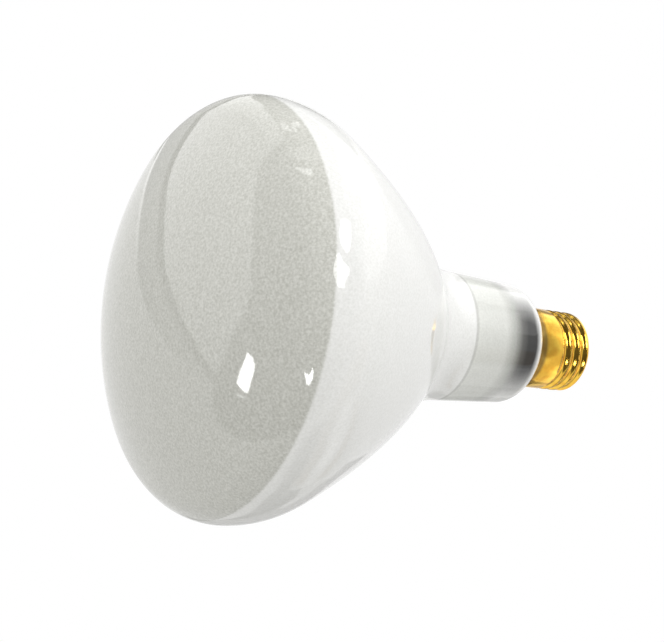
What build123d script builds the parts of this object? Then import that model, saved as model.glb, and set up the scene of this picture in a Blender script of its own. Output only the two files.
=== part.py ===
"""Reflector flood lamp for an underwater pool fitting, with a medium Edison screw base.

Millimetres. The lamp lies on the X axis as it sits in its fitting: the domed face looks
to -X and the screw base points to +X. The origin is on the axis, where the screw shell
reaches its full diameter. +Z is up.
"""
from build123d import *
from math import acos, asin, atan2, cos, degrees, sin, sqrt
import os

# Glass envelope: a domed face, a paraboloid reflector and a narrow neck
bulb_diameter = 127.0
face_height = 29.6
face_rim_radius = 15.8
reflector_focal_length = 16.0
reflector_rim_drop = 3.9
reflector_end_diameter = 52.0
neck_blend_length = 15.9
neck_ring_diameter = 41.5
neck_length = 25.1
neck_end_diameter = 38.7
shoulder_radius = 7.0

# The glass that the screw shell hides: a seal, set in cement, and the pinched pumping tube
cement_thickness = 1.65
seal_length = 8.2
seal_edge_radius = 2.0
tip_diameter = 4.0
tip_length = 5.0
tip_edge_radius = 1.6

# Screw shell: thin brass, rolled with a medium Edison thread of seven turns to the inch
shell_diameter = 26.3
shell_wall = 0.3
collar_length = 4.9
collar_depth = 0.4
collar_blend = 0.6
band_length = 5.2
crest_taper = 0.02
thread_pitch = 25.4 / 7
thread_arc_radius = 1.191
thread_turns = 3
thread_land = 0.5
thread_runout = 1.6
thread_start_angle = -100.4
shell_end_radius = 1.2
end_lip = 2.65
rim_gap = 0.6

# Black glass insulator, centre contact and solder
base_length = 27.0
insulator_inset = 1.45
insulator_depth = 4.0
insulator_tip_diameter = 11.4
insulator_bore = 2.4
contact_diameter = 9.6
contact_thickness = 0.5
contact_dish = 0.6
solder_diameter = 4.6
solder_height = 0.9
fit_gap = 0.1

# Lead wires and the solder on the shell's collar
lead_diameter = 0.5
lead_spread = 8.0
lead_bend = 1.5
side_lead_diameter = 0.4
side_lead_bend = 0.3
side_solder_length = 3.0
side_solder_height = 0.8

# Radii and stations along the axis that follow from the sizes above
shell_radius = shell_diameter / 2
collar_radius = shell_radius - collar_depth
seal_radius = collar_radius - shell_wall - cement_thickness
end_hole_radius = shell_radius - end_lip
insulator_radius = shell_radius - shell_wall - insulator_inset
rim_x = -collar_length
glass_end_x = rim_x - rim_gap
half_pitch = thread_pitch / 2
thread_depth = 2 * thread_arc_radius - sqrt((2 * thread_arc_radius) ** 2 - half_pitch**2)
thread_end_x = band_length + thread_turns * thread_pitch
shell_end_x = thread_end_x + shell_end_radius
seal_end_x = rim_x + seal_length
tip_end_x = seal_end_x + tip_length
contact_tip_x = rim_x + base_length
contact_x = contact_tip_x - solder_height - contact_dish - contact_thickness


def glass_outline():
    """Half section of the envelope, drawn from the face to the screw base."""
    bulb_r, end_r = bulb_diameter / 2, reflector_end_diameter / 2
    rim_r = bulb_r - reflector_rim_drop
    neck_r, shoulder_r = neck_ring_diameter / 2, neck_end_diameter / 2

    # The shoulder arc leaves the neck's taper and stops at the shell's collar
    taper = atan2(neck_r - shoulder_r, neck_length)
    centre_r = shoulder_r - shoulder_radius * cos(taper)
    end_angle = acos((collar_radius - centre_r) / shoulder_radius)
    shoulder_x = glass_end_x - shoulder_radius * (sin(end_angle) - sin(taper))
    ring_x = shoulder_x - neck_length

    # The reflector is a parabola, met at its rim by an arc that is tangent to it
    reflector_end_x = ring_x - neck_blend_length
    reflector_rim_x = reflector_end_x - (rim_r**2 - end_r**2) / (4 * reflector_focal_length)
    rim_angle = atan2(2 * reflector_focal_length, rim_r)
    widest_x = reflector_rim_x - reflector_rim_drop * sin(rim_angle) / (1 - cos(rim_angle))
    control_x = reflector_rim_x + (rim_r**2 - rim_r * end_r) / (4 * reflector_focal_length)

    # The dome's arc is tangent to the arc round the face's edge
    edge_r = bulb_r - face_rim_radius
    pole_x = widest_x - face_height
    dome_radius = (face_height**2 + edge_r**2 - face_rim_radius**2) / (2 * (face_height - face_rim_radius))
    dome_angle = atan2(edge_r, dome_radius - face_height)

    with BuildLine() as outline:
        dome = CenterArc((pole_x + dome_radius, 0), dome_radius, 180, -degrees(dome_angle))
        RadiusArc(dome @ 1, (widest_x, bulb_r), face_rim_radius)
        TangentArc((widest_x, bulb_r), (reflector_rim_x, rim_r), tangent=(1, 0))
        Bezier(
            (reflector_rim_x, rim_r),
            (control_x, (rim_r + end_r) / 2),
            (reflector_end_x, end_r),
        )
        neck = Line((ring_x, neck_r), (shoulder_x, shoulder_r))
        TangentArc((ring_x, neck_r), (reflector_end_x, end_r), tangent=-(neck % 0))
        TangentArc((shoulder_x, shoulder_r), (glass_end_x, collar_radius), tangent=neck % 1)
        Polyline(
            (glass_end_x, collar_radius),
            (glass_end_x, seal_radius),
            (seal_end_x, seal_radius),
            (seal_end_x, tip_diameter / 2),
            (tip_end_x, tip_diameter / 2),
            (tip_end_x, 0),
            (pole_x, 0),
        )
    return outline


# Glass bulb: one closed envelope
with BuildPart() as glass_bulb:
    with BuildSketch(Plane.XY):
        add(glass_outline())
        make_face()
    revolve(axis=Axis.X)
    rims = glass_bulb.edges().filter_by(GeomType.CIRCLE).group_by(Axis.X)
    fillet(rims[-2].sort_by(SortBy.RADIUS)[-1], seal_edge_radius)
    fillet(glass_bulb.edges().filter_by(GeomType.CIRCLE).sort_by(Axis.X)[-1], tip_edge_radius)


def thread_groove(inset):
    """Helical groove between two crests, for the outer face, or set in by the wall for the inner one.

    Valley and crest are arcs that meet tangentially, and the groove shallows out at both ends.
    """
    top = shell_radius - inset
    valley_radius = thread_arc_radius + inset
    crest_radius = thread_arc_radius - inset
    root = top - thread_depth
    valley_share = valley_radius / (valley_radius + crest_radius)
    meet_x = half_pitch * valley_share
    meet_r = root + valley_radius - (valley_radius + crest_radius - thread_depth) * valley_share
    meet_angle = asin((half_pitch - meet_x) / crest_radius)
    land_angle = asin(thread_land / 2 / thread_arc_radius)

    def crest_point(angle, side):
        """Point on the crest arc, with its height above the axis first."""
        height = top - crest_radius + crest_radius * cos(angle)
        return (height, side * (half_pitch - crest_radius * sin(angle)))

    mean_angle = (meet_angle + land_angle) / 2
    above = shell_radius + thread_depth
    clear = above + thread_depth
    land_half = crest_point(land_angle, 1)[1]

    with BuildPart() as groove:
        with BuildLine() as spine:
            Helix(
                pitch=thread_pitch,
                height=thread_turns * thread_pitch,
                radius=root,
                center=(band_length, 0, 0),
                direction=(1, 0, 0),
            )
        start = spine.wires()[0] @ 0
        radial = Vector(0, start.Y, start.Z).normalized()
        with BuildSketch(Plane((start.X, 0, 0), x_dir=radial, z_dir=Vector(1, 0, 0).cross(radial))):
            with BuildLine():
                ThreePointArc((meet_r, -meet_x), (root, 0), (meet_r, meet_x))
                ThreePointArc((meet_r, meet_x), crest_point(mean_angle, 1), crest_point(land_angle, 1))
                Polyline(
                    crest_point(land_angle, 1),
                    (above, land_half),
                    (above, -land_half),
                    crest_point(land_angle, -1),
                )
                ThreePointArc(crest_point(land_angle, -1), crest_point(mean_angle, -1), (meet_r, -meet_x))
            make_face()
        sweep(path=spine.wires()[0], is_frenet=True)

        # Cones at both ends hold the groove's floor up, so that it runs out gently
        with BuildSketch(Plane.XY):
            with BuildLine():
                Polyline(
                    (band_length - thread_pitch, 0),
                    (band_length - thread_pitch, clear),
                    (band_length, clear),
                    (band_length, top),
                    (band_length + thread_runout, root),
                    (band_length + thread_runout, 0),
                    close=True,
                )
            make_face()
            with BuildLine():
                Polyline(
                    (thread_end_x + thread_pitch, 0),
                    (thread_end_x + thread_pitch, top),
                    (thread_end_x, top),
                    (thread_end_x - thread_runout, root),
                    (thread_end_x - thread_runout, 0),
                    close=True,
                )
            make_face()
        revolve(axis=Axis.X, mode=Mode.SUBTRACT)
    return groove.part


def shell_body(inset):
    """Solid within the shell's outer face, or within its inner face when set in by the wall.

    The crests taper slightly towards the shell's end, which leads the thread into its holder.
    """
    with BuildPart() as body:
        with BuildSketch(Plane.XY):
            with BuildLine():
                Polyline(
                    (rim_x - rim_gap * (inset > 0), 0),
                    (rim_x - rim_gap * (inset > 0), collar_radius - inset),
                    (-collar_blend, collar_radius - inset),
                    (0, shell_radius - inset),
                    (band_length, shell_radius - inset),
                    (shell_end_x - inset, shell_radius - crest_taper - inset),
                    (shell_end_x - inset, 0),
                    close=True,
                )
            make_face()
        revolve(axis=Axis.X)
        end_rim = body.edges().filter_by(GeomType.CIRCLE).sort_by(Axis.X)[-1]
        fillet(end_rim, shell_end_radius - inset)
        add(thread_groove(inset), rotation=(thread_start_angle, 0, 0), mode=Mode.SUBTRACT)
    return body.part


# Screw shell: one thin rolled sheet, turned in at its end round the insulator
with BuildPart() as screw_shell:
    add(shell_body(0))
    add(shell_body(shell_wall), mode=Mode.SUBTRACT)
    with BuildSketch(Plane.YZ.offset(shell_end_x - shell_end_radius)):
        Circle(end_hole_radius)
    extrude(amount=2 * shell_end_radius, mode=Mode.SUBTRACT)


# Base insulator: black glass poured into the shell's end, with a cone for the contact
with BuildPart() as base_insulator:
    inner_x = shell_end_x - shell_wall
    with BuildSketch(Plane.XY):
        with BuildLine():
            Polyline(
                (inner_x - insulator_depth, insulator_bore / 2),
                (inner_x - insulator_depth, insulator_radius),
                (inner_x, insulator_radius),
                (inner_x, end_hole_radius - fit_gap),
                (shell_end_x, end_hole_radius - fit_gap),
                (contact_x, insulator_tip_diameter / 2),
                (contact_x, insulator_bore / 2),
                close=True,
            )
        make_face()
    revolve(axis=Axis.X)


# Centre contact: a dished brass eyelet, its barrel in the insulator's bore
with BuildPart() as centre_contact:
    barrel_r = insulator_bore / 2 - fit_gap
    hole_r = lead_diameter / 2 + fit_gap
    crown_x = contact_x + contact_thickness + contact_dish
    with BuildSketch(Plane.XY):
        with BuildLine():
            Polyline(
                (contact_x - insulator_depth / 2, hole_r),
                (contact_x - insulator_depth / 2, barrel_r),
                (contact_x, barrel_r),
                (contact_x, contact_diameter / 2),
                (contact_x + contact_thickness, contact_diameter / 2),
            )
            ThreePointArc(
                (contact_x + contact_thickness, contact_diameter / 2),
                (crown_x - contact_dish / 3, contact_diameter / 4),
                (crown_x, hole_r),
            )
            Line((crown_x, hole_r), (contact_x - insulator_depth / 2, hole_r))
        make_face()
    revolve(axis=Axis.X)


# Centre lead: from the seal, past the pumping tube, down the bore to the contact
with BuildPart() as centre_lead:
    with BuildLine() as route:
        FilletPolyline(
            (seal_end_x, 0, -lead_spread / 2),
            (seal_end_x + tip_length * 0.6, 0, -lead_spread / 2),
            (inner_x - insulator_depth - lead_bend, 0, 0),
            (crown_x, 0, 0),
            radius=lead_bend,
        )
    with BuildSketch(Plane.YZ.offset(seal_end_x)):
        with Locations((0, -lead_spread / 2)):
            Circle(lead_diameter / 2)
    sweep(path=route.wires()[0])


# Centre solder: a low dome over the end of the lead
with BuildPart() as centre_solder:
    with BuildSketch(Plane.XY):
        with BuildLine():
            solder_r = solder_diameter / 2
            solder_rise = solder_height + contact_dish
            solder_dome = (solder_r**2 + solder_rise**2) / (2 * solder_rise)
            foot_x = crown_x - contact_dish
            Polyline((contact_tip_x, 0), (foot_x, 0), (foot_x, solder_r))
            CenterArc((contact_tip_x - solder_dome, 0), solder_dome, 0, degrees(asin(solder_r / solder_dome)))
        make_face()
    revolve(axis=Axis.X)
    add(centre_contact.part, mode=Mode.SUBTRACT)
    add(centre_lead.part, mode=Mode.SUBTRACT)


# Basing cement: the ring that holds the glass in the collar, with a channel for the side lead
side_lead_y = collar_radius - shell_wall - fit_gap - side_lead_diameter / 2
with BuildPart() as basing_cement:
    with BuildSketch(Plane.YZ.offset(rim_x)):
        Circle(collar_radius - shell_wall)
        Circle(seal_radius, mode=Mode.SUBTRACT)
        channel = side_lead_diameter + 2 * fit_gap
        with Locations((side_lead_y, 0)):
            Rectangle(channel, channel, mode=Mode.SUBTRACT)
    extrude(amount=collar_length - collar_blend)


# Side lead: from the seal out to the collar, back along the cement and over the rim
side_lead_outside = collar_radius + fit_gap + side_lead_diameter / 2
with BuildPart() as side_lead:
    with BuildLine() as route:
        FilletPolyline(
            (seal_end_x, lead_spread / 2, 0),
            (seal_end_x + lead_bend, lead_spread / 2, 0),
            (seal_end_x + lead_bend, side_lead_y, 0),
            (rim_x - rim_gap / 2, side_lead_y, 0),
            (rim_x - rim_gap / 2, side_lead_outside, 0),
            (rim_x + side_solder_length / 2, side_lead_outside, 0),
            radius=side_lead_bend,
        )
    with BuildSketch(Plane.YZ.offset(seal_end_x)):
        with Locations((lead_spread / 2, 0)):
            Circle(side_lead_diameter / 2)
    sweep(path=route.wires()[0])


# Side solder: a small bead that joins the side lead to the collar
with BuildPart() as side_solder:
    bead_radius = (side_solder_length**2 / 4 + side_solder_height**2) / (2 * side_solder_height)
    with Locations((rim_x + side_solder_length / 2, collar_radius + side_solder_height - bead_radius, 0)):
        Sphere(bead_radius)
    with BuildSketch(Plane.YZ.offset(rim_x)):
        Circle(collar_radius)
    extrude(amount=base_length, mode=Mode.SUBTRACT)
    split(bisect_by=Plane.YZ.offset(rim_x), keep=Keep.TOP)
    add(side_lead.part, mode=Mode.SUBTRACT)


os.makedirs("parts", exist_ok=True)
pieces = {
    "glass_bulb": glass_bulb,
    "screw_shell": screw_shell,
    "base_insulator": base_insulator,
    "centre_contact": centre_contact,
    "centre_solder": centre_solder,
    "basing_cement": basing_cement,
    "centre_lead": centre_lead,
    "side_lead": side_lead,
    "side_solder": side_solder,
}
for name, piece in pieces.items():
    piece.part.label = name
    export_step(piece.part, f"parts/{name}.step")
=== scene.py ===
"""Reflector flood lamp for a pool light: glass envelope, rolled brass screw shell and base.

Metres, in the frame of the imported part: the lamp lies on the X axis, face to -X, +Z up.
"""
from math import acos, atan2, cos, pi, radians, sin

import bmesh
import bpy
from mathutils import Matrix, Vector


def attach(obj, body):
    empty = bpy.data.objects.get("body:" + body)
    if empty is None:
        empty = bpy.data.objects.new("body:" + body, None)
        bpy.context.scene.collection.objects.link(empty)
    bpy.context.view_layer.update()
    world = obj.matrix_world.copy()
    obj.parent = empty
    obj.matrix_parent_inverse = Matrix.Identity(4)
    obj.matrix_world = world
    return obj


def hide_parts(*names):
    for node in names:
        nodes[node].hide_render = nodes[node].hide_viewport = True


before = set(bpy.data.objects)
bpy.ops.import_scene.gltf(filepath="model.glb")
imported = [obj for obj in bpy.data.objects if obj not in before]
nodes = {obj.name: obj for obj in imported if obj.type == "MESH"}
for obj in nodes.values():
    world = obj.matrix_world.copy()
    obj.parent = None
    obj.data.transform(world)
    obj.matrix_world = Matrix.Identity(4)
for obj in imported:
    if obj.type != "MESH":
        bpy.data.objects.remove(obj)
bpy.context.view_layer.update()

MM = 0.001
scene = bpy.context.scene

# Camera: a little below the lamp and looking up at it, without roll
camera_place = Vector((-385.643, -436.210, -100.303)) * MM
camera_target = Vector((-77.726, -0.048, 0.208)) * MM
camera_lens = 96.49
sensor_width = 36.0
near_clip = 0.01

# Glass envelope, as in the part's source: radii and stations along X in millimetres
pole_x = -143.15
widest_x = -113.55
widest_radius = 63.5
dome_radius = 105.14
face_rim_radius = 15.8
reflector_rim_radius = 59.6
reflector_focal_length = 16.0
reflector_end_radius = 26.0
neck_ring_x = -37.2
neck_ring_radius = 20.75
neck_end_x = -12.1
neck_end_radius = 19.35
shoulder_radius = 7.0
glass_end_x = -5.5
collar_radius = 12.75
seal_radius = 10.8
seal_edge_radius = 2.0
seal_end_x = 3.3
tip_radius = 2.0
tip_edge_radius = 1.6
tip_end_x = 8.3

# How finely the envelope is cut: steps along the reflector, along the neck and round the axis
reflector_steps = 40
neck_steps = 16
turn_steps = 288

# Inside coating: its leaning edge on the face's side, and where it thins out and ends in the neck
coating_edge_x = -117.94
coating_edge_blur = 0.15
coating_lean = (1.0, -0.0311, -0.026)
clear_glass_x = -23.0
bare_glass_x = -17.0

# Painted light on the clear glass: it is lightened between these shares of turning away from the eye,
# where the glass bends the view out to the bright room
bend_start = 0.35
bend_end = 0.68

# Screw shell: its collar's rim, where the collar's darker olive band starts and stops fading, and the
# shell's end
collar_end_x = -4.9
collar_olive_end_x = -1.6
bright_brass_x = -0.4
shell_end_x = 21.0

# Meshes: points closer than this are one, and folds up to these angles are shaded smooth
weld_distance = 1e-6
envelope_smooth_angle = radians(35)
shell_smooth_angle = radians(30)

# A Mix node names its sockets alike for numbers and colours; these are the places of the colour ones
mix_share = 0
mix_base = 6
mix_other = 7
mix_result = 2

# Studio: floor, the point that lamps and cards surround, and how far away each layer of cards is
floor_height = -0.17
floor_size = 6.0
studio_centre = Vector((-0.08, 0, 0))
card_distance = 20.0
wall_distance = 19.5
room_distance = 19.0
tile_distance = 18.5
lamp_distance = 18.0
ambient_strength = 0.93

# A card is cut until no edge spans more than this many degrees, in at most so many rounds
card_cell = 6
card_rounds = 4


def linear(code):
    """An sRGB hex colour as linear RGBA."""
    parts = [int(code[i:i + 2], 16) / 255 for i in (1, 3, 5)]
    return tuple(c / 12.92 if c <= 0.04045 else ((c + 0.055) / 1.055) ** 2.4 for c in parts) + (1.0,)


def add_node(tree, kind, inputs=None, stops=None, **settings):
    """Adds a node with its settings, a ramp's stops and its inputs, and links inputs that are sockets."""
    node = tree.nodes.new(kind)
    for key, value in settings.items():
        setattr(node, key, value)
    if stops:
        ramp = node.color_ramp
        while len(ramp.elements) < len(stops):
            ramp.elements.new(0.5)
        for element, (place, colour) in zip(ramp.elements, stops):
            element.position = place
            element.color = colour
    for key, value in (inputs or {}).items():
        if isinstance(value, bpy.types.NodeSocket):
            tree.links.new(value, node.inputs[key])
        else:
            node.inputs[key].default_value = value
    return node


def new_material(name, **sockets):
    """A material, its Principled shader with constants on its own sockets, and Object coordinates."""
    material = bpy.data.materials.new(name)
    material.use_nodes = True
    tree = material.node_tree
    shader = tree.nodes["Principled BSDF"]
    for key, value in sockets.items():
        shader.inputs[key.replace("_", " ")].default_value = value
    coords = add_node(tree, "ShaderNodeTexCoord").outputs["Object"]
    return material, tree, shader, coords


def arc(centre, radius, start, end, steps):
    """Points on an arc, without its first one; angles in radians from +X towards the outside."""
    turns = [start + (end - start) * i / steps for i in range(1, steps + 1)]
    return [(centre[0] + radius * cos(t), centre[1] + radius * sin(t)) for t in turns]


def envelope_outline():
    """Half section of the envelope in millimetres, from the face's pole to the pumping tube's tip."""
    # Domed face, its rounded rim, and the turn into the reflector
    points = [(pole_x, 0.0)]
    face_edge = widest_radius - face_rim_radius
    dome_angle = atan2(face_edge, dome_radius - (widest_x - pole_x))
    points += arc((pole_x + dome_radius, 0), dome_radius, pi, pi - dome_angle, steps=40)
    points += arc((widest_x, face_edge), face_rim_radius, pi - dome_angle, pi / 2, steps=22)
    rim_angle = atan2(2 * reflector_focal_length, reflector_rim_radius)
    rim_arc = (widest_radius - reflector_rim_radius) / (1 - cos(rim_angle))
    rim_centre = (widest_x, widest_radius - rim_arc)
    points += arc(rim_centre, rim_arc, pi / 2, pi / 2 - rim_angle, steps=10)

    # Paraboloid reflector
    rim_x = points[-1][0]
    for i in range(1, reflector_steps + 1):
        r = reflector_rim_radius + (reflector_end_radius - reflector_rim_radius) * i / reflector_steps
        points.append((rim_x + (reflector_rim_radius**2 - r**2) / (4 * reflector_focal_length), r))

    # Blend from the parabola's end to the neck, tangent to the neck's taper
    end_x = points[-1][0]
    run = Vector((neck_end_x - neck_ring_x, neck_end_radius - neck_ring_radius)).normalized()
    side = Vector((-run.y, run.x))
    chord = Vector((end_x - neck_ring_x, reflector_end_radius - neck_ring_radius))
    blend = chord.length_squared / (2 * chord.dot(side))
    centre = Vector((neck_ring_x, neck_ring_radius)) + side * blend
    start = atan2(reflector_end_radius - centre.y, end_x - centre.x)
    end = atan2(neck_ring_radius - centre.y, neck_ring_x - centre.x)
    points += arc(centre, blend, start, end, steps=16)
    for i in range(1, neck_steps + 1):
        t = i / neck_steps
        points.append((
            neck_ring_x + (neck_end_x - neck_ring_x) * t,
            neck_ring_radius + (neck_end_radius - neck_ring_radius) * t,
        ))

    # Shoulder, then the seal and the pumping tube that the base hides
    taper = atan2(-run.y, run.x)
    centre = (neck_end_x - shoulder_radius * sin(taper), neck_end_radius - shoulder_radius * cos(taper))
    shoulder_end = acos((collar_radius - centre[1]) / shoulder_radius)
    points += arc(centre, shoulder_radius, pi / 2 - taper, pi / 2 - shoulder_end, steps=18)
    points.append((points[-1][0], seal_radius))
    points.append((seal_end_x - seal_edge_radius, seal_radius))
    centre = (seal_end_x - seal_edge_radius, seal_radius - seal_edge_radius)
    points += arc(centre, seal_edge_radius, pi / 2, 0, steps=5)
    points.append((seal_end_x, tip_radius))
    points.append((tip_end_x - tip_edge_radius, tip_radius))
    centre = (tip_end_x - tip_edge_radius, tip_radius - tip_edge_radius)
    points += arc(centre, tip_edge_radius, pi / 2, 0, steps=4)
    points.append((tip_end_x, 0.0))
    return points


def turn_on_axis(name, outline, steps):
    """Extrudes an outline point by point, then spins it round the X axis into a closed skin."""
    bpy.ops.object.select_all(action="DESELECT")
    bpy.ops.mesh.primitive_plane_add(size=MM, location=(0, 0, 0))
    piece = bpy.context.object
    piece.name = name
    bpy.ops.object.mode_set(mode="EDIT")
    bpy.ops.mesh.select_all(action="SELECT")
    bpy.ops.mesh.merge(type="CENTER")
    at = Vector((outline[0][0], 0, outline[0][1])) * MM
    bpy.ops.transform.translate(value=at)
    for x, r in outline[1:]:
        to = Vector((x, 0, r)) * MM
        bpy.ops.mesh.extrude_vertices_move(TRANSFORM_OT_translate={"value": to - at})
        at = to
    bpy.ops.mesh.select_all(action="SELECT")
    bpy.ops.mesh.spin(steps=steps, angle=2 * pi, center=(0, 0, 0), axis=(1, 0, 0))
    bpy.ops.mesh.select_all(action="SELECT")
    bpy.ops.mesh.remove_doubles(threshold=weld_distance)
    bpy.ops.mesh.normals_make_consistent(inside=False)
    bpy.ops.object.mode_set(mode="OBJECT")
    bpy.ops.object.shade_smooth_by_angle(angle=envelope_smooth_angle)
    return piece


def frosted_lamp_glass():
    """Blown soft glass, acid-frosted inside on the face and coated inside on the reflector.

    The skin stays clear and glossy over a chalky grey face and a near-white reflector. The neck
    ends in clear glass, with painted shade where one looks straight in at the unlit inside, and
    painted light where it bends the view out to the bright room.
    """
    material, tree, shader, coords = new_material("frosted_lamp_glass", Roughness=0.05, IOR=1.5)
    face = linear("#D4D4CE")
    coated = linear("#EFEFED")
    seam = linear("#BEBEBA")
    edge_start = coating_edge_x - coating_edge_blur
    edge_end = coating_edge_x + coating_edge_blur
    length = glass_end_x - pole_x
    # Colours along the axis: face, coated reflector, the seam's thin shadow, and the neck going clear,
    # where the coating thins out and the darkening to near black is painted shade of the unlit inside
    stations = [
        (pole_x, face),
        (edge_start, face),
        (edge_end, coated),
        (neck_ring_x + 0.3, coated),
        (neck_ring_x + 0.6, seam),
        (neck_ring_x + 0.9, seam),
        (neck_ring_x + 1.3, linear("#DEDFDA")),
        (-24.0, linear("#D6D7D2")),
        (-20.0, linear("#ABACA7")),
        (bare_glass_x, linear("#5C5C59")),
        (-14.5, linear("#2E2E2D")),
        (glass_end_x, linear("#1C1C1B")),
    ]
    # The coating was run in with the bulb a little out of true, so its edge leans by 2.3 degrees
    along = add_node(tree, "ShaderNodeVectorMath", {
        0: coords, 1: coating_lean}, operation="DOT_PRODUCT").outputs["Value"]
    share = add_node(tree, "ShaderNodeMapRange", {
        "Value": along, "From Min": pole_x * MM, "From Max": glass_end_x * MM}).outputs["Result"]
    base = add_node(tree, "ShaderNodeValToRGB", {"Fac": share}, stops=[
        ((place - pole_x) / length, colour) for place, colour in stations]).outputs["Color"]
    # Painted light: clear glass seen at a slant is lightened to near white, for the bright room
    # that it bends the view out to
    facing = add_node(tree, "ShaderNodeLayerWeight", {"Blend": 0.5}).outputs["Facing"]
    slant = add_node(tree, "ShaderNodeMapRange", {
        "Value": facing, "From Min": bend_start, "From Max": bend_end}).outputs["Result"]
    bare = add_node(tree, "ShaderNodeMapRange", {
        "Value": along, "From Min": clear_glass_x * MM, "From Max": bare_glass_x * MM}).outputs["Result"]
    bent = add_node(tree, "ShaderNodeMath", {0: slant, 1: bare}, operation="MULTIPLY").outputs[0]
    glass = add_node(tree, "ShaderNodeMix", {
        mix_share: bent, mix_base: base, mix_other: linear("#F0F0EE")}, data_type="RGBA").outputs[mix_result]
    # Frosting, drawn coarser than it is so that it shows
    grain_size = 0.7 * MM
    grains = add_node(tree, "ShaderNodeTexNoise", {
        "Vector": coords, "Scale": 1 / grain_size, "Detail": 2.0, "Roughness": 0.6}).outputs["Fac"]
    speckle = add_node(tree, "ShaderNodeValToRGB", {"Fac": grains}, stops=[
        (0.3, linear("#DEDEDB")), (0.7, linear("#FFFFFF"))]).outputs["Color"]
    # It is faint through the reflector's coating
    shown = add_node(tree, "ShaderNodeMapRange", {
        "Value": along, "From Min": edge_start * MM, "From Max": edge_end * MM,
        "To Min": 1.0, "To Max": 0.4}).outputs["Result"]
    skin = add_node(tree, "ShaderNodeMix", {
        mix_share: shown, mix_base: glass, mix_other: speckle}, data_type="RGBA", blend_type="MULTIPLY")
    tree.links.new(skin.outputs[mix_result], shader.inputs["Base Color"])
    return material


def rolled_brass():
    """Drawn and rolled sheet brass: bright, with soft lines round the shell from the rolls.

    The collar, next to the glass, is a darker olive that fades out to bright brass.
    """
    material, tree, shader, coords = new_material("rolled_brass", Metallic=1.0, Roughness=0.17)
    brass = linear("#FACC54")
    collar_olive = linear("#A1864A")
    length = shell_end_x - collar_end_x
    # Darker olive at the collar next to the glass, fading out to bright brass
    stations = [(collar_end_x, collar_olive), (collar_olive_end_x, collar_olive), (bright_brass_x, brass), (shell_end_x, brass)]
    x = add_node(tree, "ShaderNodeSeparateXYZ", {"Vector": coords}).outputs["X"]
    share = add_node(tree, "ShaderNodeMapRange", {
        "Value": x, "From Min": collar_end_x * MM, "From Max": shell_end_x * MM}).outputs["Result"]
    base = add_node(tree, "ShaderNodeValToRGB", {"Fac": share}, stops=[
        ((place - collar_end_x) / length, colour) for place, colour in stations]).outputs["Color"]
    # Handling marks
    mark_size = 3 * MM
    marks = add_node(tree, "ShaderNodeTexNoise", {
        "Vector": coords, "Scale": 1 / mark_size, "Detail": 3.0}).outputs["Fac"]
    tarnish = add_node(tree, "ShaderNodeValToRGB", {"Fac": marks}, stops=[
        (0.35, linear("#F2E4D2")), (0.6, linear("#FFFFFF"))]).outputs["Color"]
    skin = add_node(tree, "ShaderNodeMix", {
        mix_share: 1.0, mix_base: base, mix_other: tarnish}, data_type="RGBA", blend_type="MULTIPLY")
    tree.links.new(skin.outputs[mix_result], shader.inputs["Base Color"])
    # Roll lines run round the axis: long in Y and Z, and close together along X
    line_gap = 0.4 * MM
    line_length = 1 / 60
    stretched = add_node(tree, "ShaderNodeMapping", {
        "Vector": coords, "Scale": (1 / line_gap, 1 / line_length, 1 / line_length)})
    lines = add_node(tree, "ShaderNodeTexNoise", {
        "Vector": stretched.outputs["Vector"], "Scale": 1.0, "Detail": 2.0}).outputs["Fac"]
    bump = add_node(tree, "ShaderNodeBump", {"Height": lines, "Strength": 0.1, "Distance": 0.01 * MM})
    tree.links.new(bump.outputs["Normal"], shader.inputs["Normal"])
    return material


def stamped_brass():
    """Stamped brass eyelet: duller than the shell, a little tarnished."""
    material, tree, shader, coords = new_material("stamped_brass", Metallic=1.0, Roughness=0.3)
    mark_size = 3 * MM
    tarnish = add_node(tree, "ShaderNodeTexNoise", {"Vector": coords, "Scale": 1 / mark_size}).outputs["Fac"]
    colour = add_node(tree, "ShaderNodeValToRGB", {"Fac": tarnish}, stops=[
        (0.3, linear("#B98F45")), (0.7, linear("#E2C07A"))]).outputs["Color"]
    tree.links.new(colour, shader.inputs["Base Color"])
    return material


def poured_black_glass():
    """Black glass, poured hot into the shell: a fire-bright skin with slow waves."""
    material, tree, shader, coords = new_material(
        "poured_black_glass", Base_Color=linear("#121214"), Roughness=0.08, IOR=1.52)
    wave_size = 4 * MM
    waves = add_node(tree, "ShaderNodeTexNoise", {"Vector": coords, "Scale": 1 / wave_size}).outputs["Fac"]
    bump = add_node(tree, "ShaderNodeBump", {"Height": waves, "Strength": 0.4, "Distance": 0.2 * MM})
    tree.links.new(bump.outputs["Normal"], shader.inputs["Normal"])
    return material


def tin_lead_solder():
    """Solder, frozen from a drop: grey, satin, with a slightly grainy skin."""
    material, tree, shader, coords = new_material("tin_lead_solder", Metallic=1.0, Roughness=0.34)
    grain_size = 0.6 * MM
    grains = add_node(tree, "ShaderNodeTexNoise", {
        "Vector": coords, "Scale": 1 / grain_size, "Detail": 3.0}).outputs["Fac"]
    colour = add_node(tree, "ShaderNodeValToRGB", {"Fac": grains}, stops=[
        (0.3, linear("#8E9093")), (0.7, linear("#C6C8CA"))]).outputs["Color"]
    tree.links.new(colour, shader.inputs["Base Color"])
    bump = add_node(tree, "ShaderNodeBump", {"Height": grains, "Strength": 0.4, "Distance": 0.08 * MM})
    tree.links.new(bump.outputs["Normal"], shader.inputs["Normal"])
    return material


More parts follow.
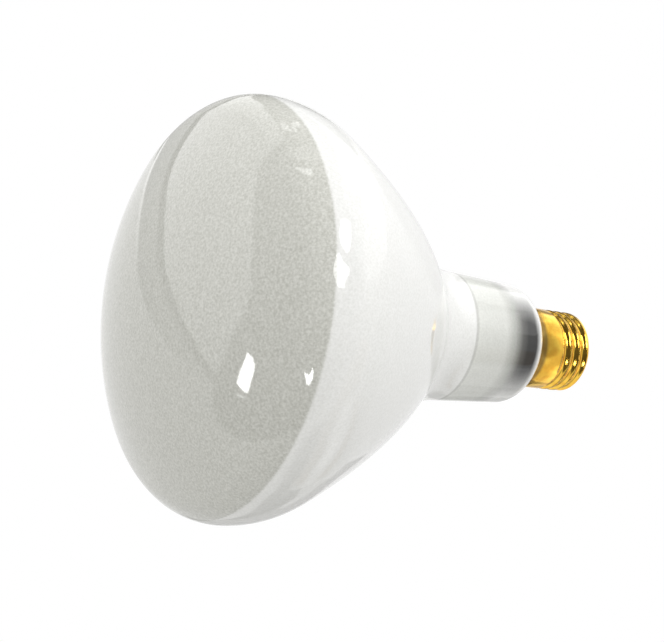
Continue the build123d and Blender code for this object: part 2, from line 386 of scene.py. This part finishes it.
def basing_cement_paste():
    """Basing cement: resin and marble flour, baked hard, matt and sandy."""
    material, tree, shader, coords = new_material("basing_cement_paste", Roughness=0.9)
    sand_size = 0.4 * MM
    sand = add_node(tree, "ShaderNodeTexNoise", {
        "Vector": coords, "Scale": 1 / sand_size, "Detail": 4.0}).outputs["Fac"]
    colour = add_node(tree, "ShaderNodeValToRGB", {"Fac": sand}, stops=[
        (0.3, linear("#9A8A70")), (0.7, linear("#C9BBA2"))]).outputs["Color"]
    tree.links.new(colour, shader.inputs["Base Color"])
    bump = add_node(tree, "ShaderNodeBump", {"Height": sand, "Strength": 0.6, "Distance": 0.1 * MM})
    tree.links.new(bump.outputs["Normal"], shader.inputs["Normal"])
    return material


def nickel_plated_wire():
    """Drawn lead wire with nickel plating: pale, with small dull marks."""
    material, tree, shader, coords = new_material("nickel_plated_wire", Metallic=1.0, Roughness=0.28)
    mark_size = 0.5 * MM
    marks = add_node(tree, "ShaderNodeTexNoise", {"Vector": coords, "Scale": 1 / mark_size}).outputs["Fac"]
    colour = add_node(tree, "ShaderNodeValToRGB", {"Fac": marks}, stops=[
        (0.3, linear("#A39C92")), (0.7, linear("#CFC9BF"))]).outputs["Color"]
    tree.links.new(colour, shader.inputs["Base Color"])
    return material


def dress(piece, material):
    """Puts one material on all of a piece."""
    piece.data.materials.clear()
    piece.data.materials.append(material)


def build_envelope():
    """The one-piece glass envelope, denser and smoother than the CAD node that it stands for."""
    envelope = turn_on_axis("glass_envelope", envelope_outline(), turn_steps)
    dress(envelope, frosted_lamp_glass())
    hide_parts("glass_bulb")
    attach(envelope, "root")


def smooth_shell():
    """The screw shell's own CAD mesh, with its loose triangles joined so that the threads look smooth."""
    bpy.ops.object.select_all(action="DESELECT")
    shell = bpy.data.objects.new("rolled_screw_shell", nodes["screw_shell"].data.copy())
    scene.collection.objects.link(shell)
    bpy.context.view_layer.objects.active = shell
    shell.select_set(True)
    bpy.ops.object.mode_set(mode="EDIT")
    bpy.ops.mesh.select_all(action="SELECT")
    bpy.ops.mesh.remove_doubles(threshold=weld_distance)
    bpy.ops.object.mode_set(mode="OBJECT")
    bpy.ops.object.shade_smooth_by_angle(angle=shell_smooth_angle)
    weighted = shell.modifiers.new("weighted", "WEIGHTED_NORMAL")
    weighted.mode = "FACE_AREA_WITH_ANGLE"
    weighted.keep_sharp = True
    bpy.ops.object.modifier_apply(modifier=weighted.name)
    dress(shell, rolled_brass())
    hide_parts("screw_shell")
    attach(shell, "root")


def finish_base():
    """Materials of the CAD nodes that stay as they are."""
    solder = tin_lead_solder()
    wire = nickel_plated_wire()
    finishes = {
        "base_insulator": poured_black_glass(),
        "centre_contact": stamped_brass(),
        "centre_solder": solder,
        "side_solder": solder,
        "basing_cement": basing_cement_paste(),
        "centre_lead": wire,
        "side_lead": wire,
    }
    for name, material in finishes.items():
        for slot in nodes[name].material_slots:
            slot.material = material


def place_camera():
    """The photo's camera, fitted to the lamp's outline."""
    camera = bpy.data.objects.new("camera", bpy.data.cameras.new("camera"))
    scene.collection.objects.link(camera)
    camera.data.lens = camera_lens
    camera.data.sensor_width = sensor_width
    camera.data.clip_start = near_clip
    camera.location = camera_place
    camera.rotation_euler = (camera_target - camera_place).to_track_quat("-Z", "Y").to_euler()
    scene.camera = camera


def towards(azimuth, elevation, distance):
    """A point seen from the studio's centre in that direction: azimuth from -Y towards +X, in degrees."""
    a = radians(azimuth)
    e = radians(elevation)
    return Vector((sin(a) * cos(e), -cos(a) * cos(e), sin(e))) * distance + studio_centre


def studio_card(name, corners, strength, distance=card_distance, colour="#FFFFFF"):
    """A glowing card that only reflections see. Its corners are directions from the studio's centre.

    It is cut out flat, with azimuth and elevation as its two axes, and then bent round the lamp.
    """
    mesh = bpy.data.meshes.new(name)
    mesh.from_pydata([(a, e, 0) for a, e in corners], [], [list(range(len(corners)))])
    cut = bmesh.new()
    cut.from_mesh(mesh)
    bmesh.ops.triangulate(cut, faces=cut.faces[:])
    for _ in range(card_rounds):
        long_edges = [edge for edge in cut.edges if edge.calc_length() > card_cell]
        if long_edges:
            bmesh.ops.subdivide_edges(cut, edges=long_edges, cuts=1)
            bmesh.ops.triangulate(cut, faces=cut.faces[:])
    for vert in cut.verts:
        vert.co = towards(vert.co.x, vert.co.y, distance)
    cut.to_mesh(mesh)
    cut.free()
    card = bpy.data.objects.new(name, mesh)
    scene.collection.objects.link(card)
    material = bpy.data.materials.new(name)
    material.use_nodes = True
    tree = material.node_tree
    tree.nodes.clear()
    glow = add_node(tree, "ShaderNodeEmission", {"Color": linear(colour), "Strength": strength})
    add_node(tree, "ShaderNodeOutputMaterial", {"Surface": glow.outputs["Emission"]})
    dress(card, material)
    card.visible_camera = False
    card.visible_diffuse = False
    card.visible_shadow = False
    card.visible_transmission = False


def light_world():
    """White to the camera and to reflections, and a little softer as a light."""
    world = bpy.data.worlds.new("studio")
    scene.world = world
    world.use_nodes = True
    tree = world.node_tree
    tree.nodes.clear()
    rays = add_node(tree, "ShaderNodeLightPath")
    seen = rays.outputs["Is Camera Ray"]
    for kind in ("Is Glossy Ray", "Is Transmission Ray"):
        seen = add_node(tree, "ShaderNodeMath", {
            0: seen, 1: rays.outputs[kind]}, operation="MAXIMUM").outputs[0]
    strength = add_node(tree, "ShaderNodeMapRange", {
        "Value": seen, "To Min": ambient_strength, "To Max": 1.0}).outputs["Result"]
    sky = add_node(tree, "ShaderNodeBackground", {"Color": linear("#FFFFFF"), "Strength": strength})
    add_node(tree, "ShaderNodeOutputWorld", {"Surface": sky.outputs["Background"]})


def hang_lamp(name, place, size, watts):
    """A soft square light that looks at the studio's centre and isn't reflected in the glass."""
    light = bpy.data.lights.new(name, "AREA")
    light.shape = "SQUARE"
    light.size = size
    light.energy = watts
    lamp = bpy.data.objects.new(name, light)
    scene.collection.objects.link(lamp)
    lamp.location = place
    lamp.rotation_euler = (studio_centre - lamp.location).to_track_quat("-Z", "Y").to_euler()
    lamp.visible_glossy = False
    lamp.visible_camera = False


def lay_floor():
    """A wide pale floor below the lamp."""
    bpy.ops.object.select_all(action="DESELECT")
    bpy.ops.mesh.primitive_plane_add(size=floor_size, location=(0, 0, floor_height))
    floor = bpy.context.object
    floor.name = "floor"
    dress(floor, new_material("pale_floor", Base_Color=linear("#BFBFBD"), Roughness=0.8)[0])
    floor.visible_glossy = False


def mirror_room():
    """The unlit room round the camera, its ceiling, the far wall, the table and the floor's shadow."""
    studio_card("dark_room", [
        (-104, 62), (-111, 51), (-114.5, 46), (-113, 42.4), (-108.6, 37), (-104, 29.5), (-101, 22),
        (-99.4, 14.3), (-99.5, 7), (-101.5, 2), (-104, 0), (-110, -6.6), (-116, -11), (-119, -14),
        (-121.7, -17), (-123.5, -20.5), (-122.8, -23.8), (-119.8, -27.9), (-114.5, -30.9), (-107, -36),
        (-83, -53.7), (-34, -65.6), (-11, -62), (10, -56), (24, -40), (27, -20), (27, 5), (28, 30),
        (28, 52), (10, 60), (-60, 66),
    ], 0.1, room_distance)
    studio_card("room_edge", [
        (24, -40), (38, -34), (41, -20), (41, 0), (40, 20), (38, 38), (28, 52), (28, 30), (27, 5),
        (27, -20),
    ], 0.5, room_distance)
    studio_card("ceiling", [
        (-211, 35), (-189, 61), (-158, 69), (-132, 71.3), (-114.6, 69.2), (-104.3, 66.3), (-109, 56),
        (-60, 56), (28, 50), (60, 58), (100, 56), (120, 52), (134, 56), (149, 36), (149, 90), (-211, 90),
    ], 0.15, wall_distance)
    studio_card("far_wall", [
        (134, 28), (149, 31), (149, 35), (160, 52), (170, 64), (156, 67), (142, 66), (136, 60),
    ], 0.1, room_distance)
    studio_card("far_wall_edge", [
        (110, 40), (122, 34), (134, 28), (136, 60), (128, 52), (114, 44),
    ], 0.65, wall_distance)
    studio_card("pale_wall", [
        (110, 14), (128, 9), (148, 8), (149, 31), (134, 28), (122, 34), (110, 32),
    ], 0.85, wall_distance)
    studio_card("far_wall_top", [
        (112, 37), (134, 33), (134, 56), (128, 52), (114, 46),
    ], 0.35, tile_distance)
    studio_card("table_back", [
        (126, -12), (130, -7), (150, -8), (160, -10), (160, -31), (136, -31), (136, -26), (124, -25),
    ], 0.6, room_distance)
    studio_card("table", [
        (122, -41), (128, -34), (136, -31), (160, -31), (150, -44), (124, -50),
    ], 0.3, room_distance)
    studio_card("floor_shadow", [
        (10, -62), (52, -57), (80, -61), (118, -56), (124, -50), (150, -44), (150, -60), (118, -82),
        (10, -82),
    ], 0.15, wall_distance)
    studio_card("table_edge", [
        (44, -14), (58, -14), (64, -30), (118, -30), (118, -55), (80, -60), (52, -56), (44, -36),
    ], 0.8, wall_distance, "#FFF4E8")


def mirror_backdrops():
    """Two backdrops on the left, with the dark gap and the bright line between them."""
    studio_card("backdrop_gap", [
        (-211, 37), (-194, 42), (-184, 41), (-177, 37), (-170, 33.8), (-163, 31.3), (-154, 28.2),
        (-147, 23.7), (-142, 18.5), (-137, 13.8), (-132, 9.1), (-129, 5), (-125, 0.5), (-121.7, -4.6),
        (-118.6, -9.1), (-116, -11.5), (-118.5, -13), (-121.5, -10), (-124.5, -5), (-128, -0.5),
        (-132, 5), (-136.5, 9.6), (-142.3, 14.8), (-146.3, 18.5), (-151.3, 23.2), (-157.9, 27),
        (-165.6, 29.8), (-173.3, 31.8), (-180, 34), (-187, 37.5), (-196, 39), (-211, 34),
    ], 0.1, room_distance)
    studio_card("side_backdrop", [
        (-211, 34), (-196, 39), (-187, 38), (-180, 35), (-173.3, 32.5), (-165.6, 30.5), (-157.9, 27.6),
        (-151.3, 23.6), (-146.3, 19), (-142.3, 15.4), (-136.5, 10), (-132, 5.5), (-128, 0),
        (-124.5, -4.5), (-121.5, -9.5), (-118.5, -13), (-130, -5), (-151, 11), (-164.7, 20.1),
        (-170.6, 22.6), (-176, 24.1), (-182.7, 24.7), (-190, 24.6), (-211, 19),
    ], 0.55, wall_distance)
    studio_card("lit_backdrop", [
        (-211, 34), (-165, 29), (-150, 20), (-140, 10), (-118, -12), (-99, 0), (-98, 30), (-100, 66),
        (-130, 72), (-158, 70), (-189, 62), (-211, 38),
    ], 1.3)
    studio_card("backdrop_line", [
        (-161, 17.2), (-164.7, 19.6), (-170.6, 22.1), (-176, 23.6), (-182.7, 24.2), (-190, 24.2),
        (-196, 24.2), (-196, 25.2), (-190, 25.4), (-182.7, 25.2), (-176, 24.6), (-170.6, 23.1),
        (-164.7, 20.6), (-161, 18.2),
    ], 1.4, lamp_distance)


def mirror_lamps():
    """The windows and lamps that the glass mirrors, each as the outline that shows on it."""
    studio_card("window_low", [
        (-102.4, -8.9), (-100.7, -10.7), (-100.4, -13.1), (-102.6, -15.9), (-105.2, -18.6),
        (-106.7, -19.4), (-107.9, -18.2), (-109.4, -16), (-106.7, -13.2), (-104.1, -11),
    ], 20.0, lamp_distance)
    studio_card("window_foot", [
        (-111.2, -18.1), (-108.9, -19.4), (-107.5, -20.2), (-108.8, -20.3), (-110.7, -19.1),
    ], 5.0, lamp_distance)
    studio_card("window_side", [
        (-42.1, -30.9), (-37.7, -34.5), (-37, -37.9), (-40.2, -39.7), (-47.1, -38.5), (-52.7, -33.8),
        (-57.4, -29.3), (-48.1, -33), (-43.9, -32.8),
    ], 20.0, lamp_distance)
    studio_card("lamp_upper", [
        (5, 36.6), (18.4, 36.6), (27.8, 34.2), (23.6, 27.7), (15.5, 21.1), (7.9, 20.6), (-1.6, 24.1),
        (-3.1, 29.8),
    ], 8.0, lamp_distance)
    studio_card("lamp_middle", [
        (-11.1, 20.4), (-5.5, 19.7), (0.9, 15.8), (13.6, 13.5), (12.8, 10.1), (4.2, 7.4), (2.7, 3.5),
        (-9.8, 3.8), (-17.4, 8), (-20, 12.2), (-15.3, 16.5),
    ], 8.0, lamp_distance)
    studio_card("ceiling_tile", [
        (-107.2, 48.5), (-103.3, 54.5), (-90, 64.3), (-67.7, 73.8), (-9.4, 79.6), (22.7, 75.5),
        (23.8, 71.5), (-5.2, 69), (-42.3, 65.4), (-69.2, 61.1), (-86.8, 58.5), (-98.9, 52.1),
    ], 0.7, tile_distance)
    studio_card("ceiling_lamp", [
        (-88.6, 50.4), (-75.4, 54.8), (-53.9, 60), (-37.8, 62.7), (-40.6, 59.9), (-50.4, 55.6),
        (-63.2, 54.5), (-76.3, 52.5),
    ], 4.0, lamp_distance)
    studio_card("ceiling_spot_left", [
        (-135.8, 73.5), (-149.6, 78.3), (-137.9, 81), (-108.7, 80.7), (-111.8, 76.8), (-116.3, 73.8),
        (-122.7, 72.7),
    ], 2.0, lamp_distance)
    studio_card("ceiling_spot_right", [
        (170, 82), (143, 79), (129, 77), (121, 83), (242, 88.5), (260, 84.2), (237, 83.3),
    ], 2.0, lamp_distance)


def mirror_softboxes():
    """The softboxes at the lamp's right, two of them inside a dimmer glow."""
    studio_card("long_softbox", [
        (66, 38), (110, 38), (108, 52), (66, 52),
    ], 1.9, lamp_distance)
    studio_card("side_glow", [
        (40, -4), (84, 0), (114, 26), (114, 38), (60, 38), (40, 30),
    ], 1.1, tile_distance)
    studio_card("side_softbox", [
        (44, 7), (60, 11), (74, 18), (108, 35), (108, 38), (66, 38), (44, 25),
    ], 1.9, lamp_distance)
    studio_card("low_softbox_edge", [
        (60, -28), (76, -33), (121, -36), (121, -43), (106, -49), (72, -50), (58, -42),
    ], 1.3, tile_distance)
    studio_card("low_softbox", [
        (64, -33), (78, -38), (107, -40), (107, -47), (74, -47), (62, -40),
    ], 1.9, lamp_distance)


def light_studio():
    """World, floor and lights, and then all that the glass and the brass mirror."""
    light_world()
    lay_floor()
    hang_lamp("key_light", Vector((0.3, -1.4, 1.3)), size=1.2, watts=13.0)
    hang_lamp("top_light", Vector((-0.3, 0.1, 1.6)), size=1.2, watts=5.0)
    hang_lamp("face_light", Vector((-1.6, -0.9, 0.1)), size=1.0, watts=4.5)
    mirror_room()
    mirror_backdrops()
    mirror_lamps()
    mirror_softboxes()


scene.view_settings.view_transform = "Standard"
place_camera()
light_studio()
build_envelope()
smooth_shell()
finish_base()
